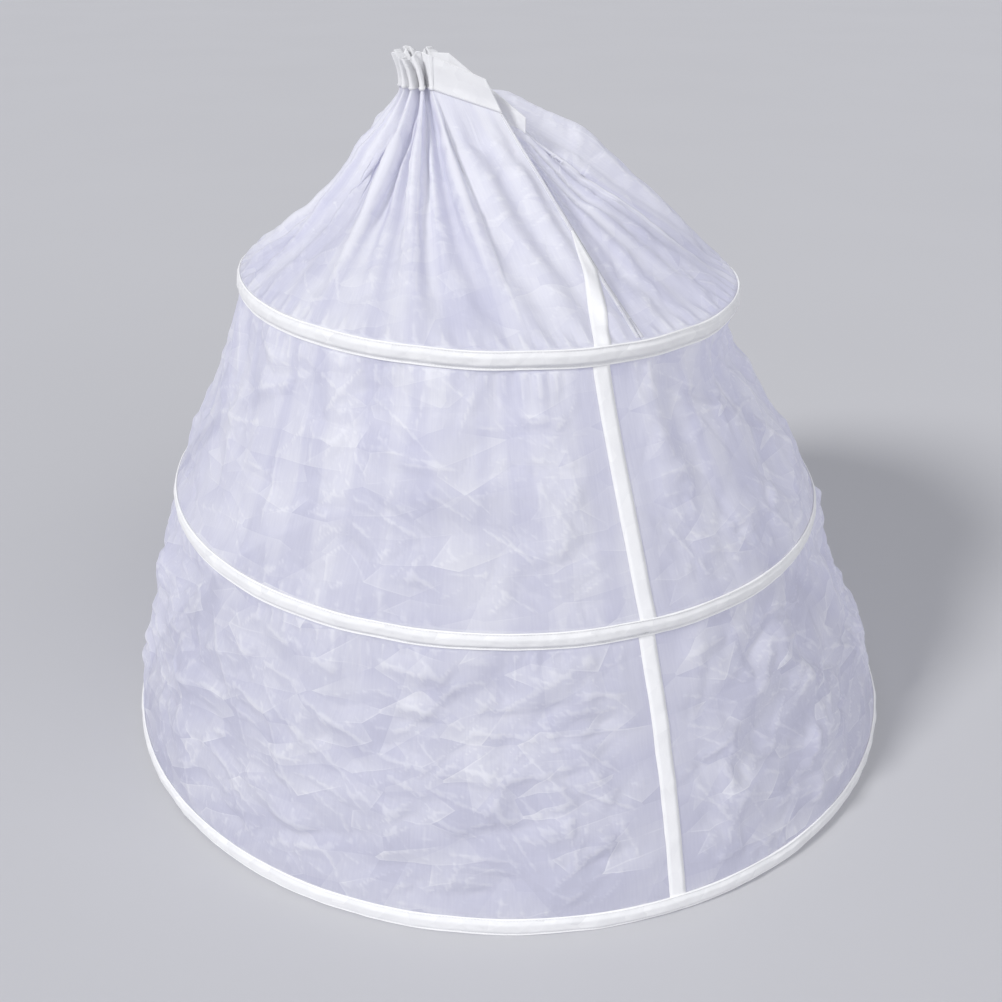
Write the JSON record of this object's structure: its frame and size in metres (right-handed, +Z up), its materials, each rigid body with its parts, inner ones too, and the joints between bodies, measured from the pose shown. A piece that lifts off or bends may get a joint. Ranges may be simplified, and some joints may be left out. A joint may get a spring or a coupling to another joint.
{
  "type": "hooped crinoline petticoat",
  "caption": "Sheer white bell-shaped crinoline petticoat with flat steel hoops in sewn channels, gathered tiers, a seam tape and a drawn waistband with an open slit.",
  "frame": {"origin": "middle of the drawn waist, at the level of the waist seam, where the skirt is held up", "axes": "+Z up, +X towards the side with the slit, +Y to the back"},
  "size_m": [1.0053, 1.0054, 0.814],
  "materials": {
    "sheer_cloth": "crisp sheer woven lining cloth",
    "band_cloth": "folded plain-weave band",
    "channel_tape": "woven white tape",
    "coated_steel": "white-coated spring steel",
    "joiner_metal": "plain crimped sleeve"
  },
  "bodies": {
    "root": {"waistband": "band_cloth", "upper_tier": "sheer_cloth", "middle_tier": "sheer_cloth", "lower_tier": "sheer_cloth", "top_channel": "channel_tape", "middle_channel": "channel_tape", "hem_channel": "channel_tape", "top_hoop": "coated_steel", "middle_hoop": "coated_steel", "hem_hoop": "coated_steel", "top_joiner": "joiner_metal", "middle_joiner": "joiner_metal", "hem_joiner": "joiner_metal", "seam_tape": "channel_tape"}
  },
  "joints": []
}
